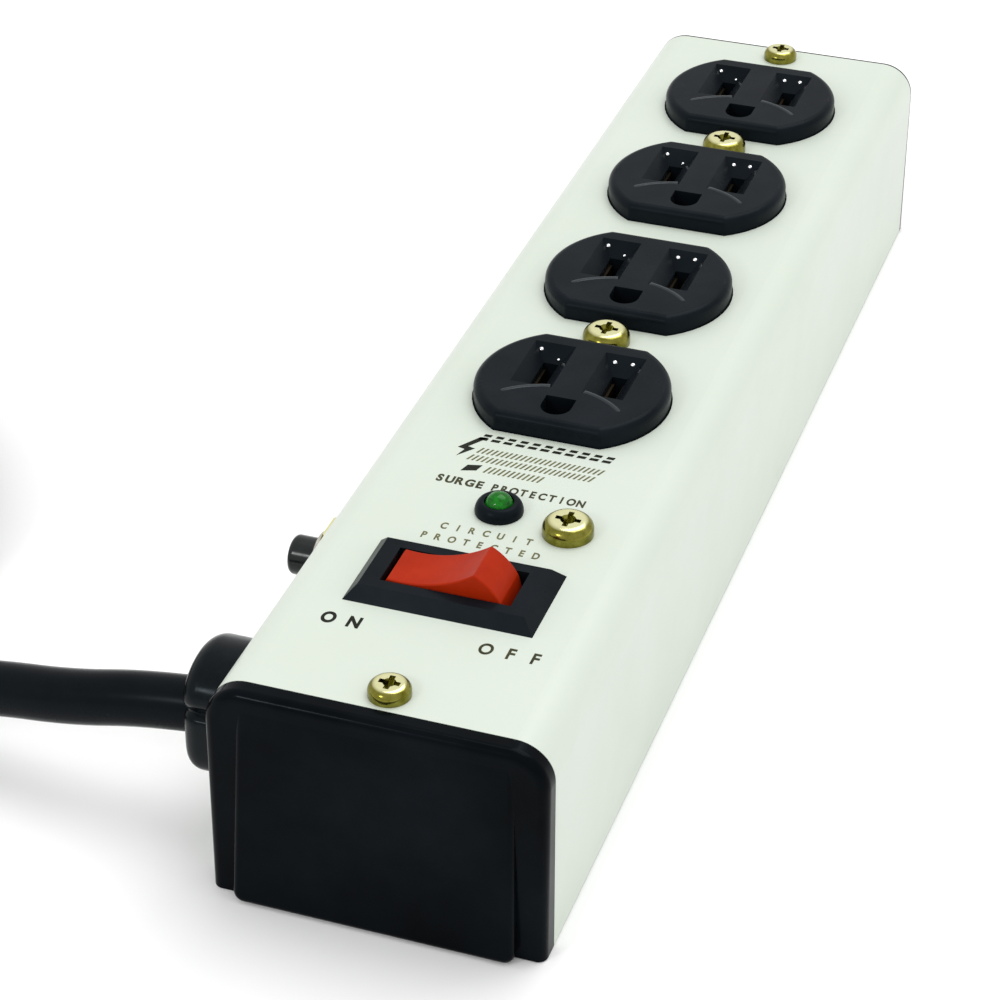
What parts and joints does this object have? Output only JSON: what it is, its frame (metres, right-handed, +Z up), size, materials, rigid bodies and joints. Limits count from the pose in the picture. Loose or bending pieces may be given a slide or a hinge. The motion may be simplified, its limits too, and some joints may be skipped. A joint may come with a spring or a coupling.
{
  "type": "surge protector strip",
  "caption": "Metal-cased surge protector strip with a row of three-pin outlets, red rocker switch, pilot lamp, side reset button, and a black mains lead with plug.",
  "frame": {"origin": "middle of the flat underside of the housing, between the side walls and between the housing's two cut ends", "axes": "+X to the right across the housing with the switch end nearest, away from the lead's side; +Y back along the housing towards the far outlet; +Z up out of the outlet faces"},
  "size_m": [0.2482, 0.2473, 0.0444],
  "materials": {
    "painted_steel": "smooth baked enamel, warm white",
    "zinc_steel": "bright zinc plate",
    "black_gloss_plastic": "glossy moulded black",
    "black_plastic": "satin moulded black",
    "red_plastic": "smooth moulded red-orange",
    "yellow_zinc": "yellow chromate over zinc",
    "brass": "bright",
    "green_lens": "translucent tinted lens",
    "bulb_glass": "clear",
    "nickel": "nickel plate",
    "cord_jacket": "smooth PVC with a light sheen",
    "natural_nylon": "natural nylon",
    "green_board": "glass-epoxy laminate",
    "blue_coating": "dipped epoxy",
    "yellow_case": "moulded case",
    "grey_fibre": "vulcanised fibre",
    "black_insulation": "extruded PVC",
    "white_insulation": "extruded PVC",
    "green_insulation": "extruded PVC",
    "brown_phenolic": "moulded phenolic",
    "resistor_body": "dipped body"
  },
  "bodies": {
    "root": {"housing_shell": "painted_steel", "base_plate": "zinc_steel", "front_end_cap": "black_gloss_plastic", "rear_end_cap": "black_gloss_plastic", "end_cap_screws": "yellow_zinc", "outlet_screws": "yellow_zinc", "ground_post": "zinc_steel", "ground_post_screw": "yellow_zinc", "ground_lug": "zinc_steel", "terminal_screws": "brass", "switch_body": "black_plastic", "rocker_pins": "nickel", "switch_terminals": "brass", "lamp_bezel": "black_plastic", "lamp_lens": "green_lens", "lamp_bulb": "bulb_glass", "lamp_resistor": "resistor_body", "breaker_body": "brown_phenolic", "breaker_bushing": "nickel", "breaker_nut": "yellow_zinc", "breaker_terminals": "brass", "strain_relief": "black_plastic", "strain_relief_wedge": "black_plastic", "cord_lead": "cord_jacket", "cord_coil": "cord_jacket", "cord_tail": "cord_jacket", "coil_tie": "black_plastic", "plug_body": "cord_jacket", "plug_blades": "brass", "plug_ground_pin": "brass", "insulating_sheet": "grey_fibre", "board_standoffs": "natural_nylon", "surge_board": "green_board", "board_screws": "zinc_steel", "varistors": "blue_coating", "filter_capacitor": "yellow_case", "thermal_fuse": "natural_nylon", "line_wire": "black_insulation", "switch_feed_wire": "black_insulation", "switched_wire": "black_insulation", "neutral_wire": "white_insulation", "ground_wire": "green_insulation", "outlet_jumpers": "black_insulation", "outlet_cover_front": "black_plastic", "outlet_base_front": "brown_phenolic", "outlet_strap_front": "zinc_steel", "neutral_bus_front": "brass", "hot_bus_front": "brass", "ground_bus_front": "brass", "outlet_cover_rear": "black_plastic", "outlet_base_rear": "brown_phenolic", "outlet_strap_rear": "zinc_steel", "neutral_bus_rear": "brass", "hot_bus_rear": "brass", "ground_bus_rear": "brass"},
    "rocker": {"switch_rocker": "red_plastic", "switch_plunger": "natural_nylon", "switch_spring": "nickel"},
    "teeter": {"teeter_contact": "brass"},
    "reset_button": {"reset_button": "black_gloss_plastic"}
  },
  "joints": [
    {"name": "rocker_tilt", "type": "hinge", "parent": "root", "child": "rocker", "pos_m": [0, -0.0856, 0.0332], "axis": [0, 1, 0], "range_deg": [0, 30]},
    {"name": "teeter_tilt", "type": "hinge", "parent": "root", "child": "teeter", "pos_m": [0, -0.0856, 0.0236], "axis": [0, 1, 0], "range_deg": [-16, 0]},
    {"name": "reset_slide", "type": "slide", "parent": "root", "child": "reset_button", "axis": [-1, 0, 0], "range_m": [0, 0.0035]}
  ],
  "couplings": [
    {"joint": "teeter_tilt", "follows": "rocker_tilt", "ratio": -0.53}
  ]
}
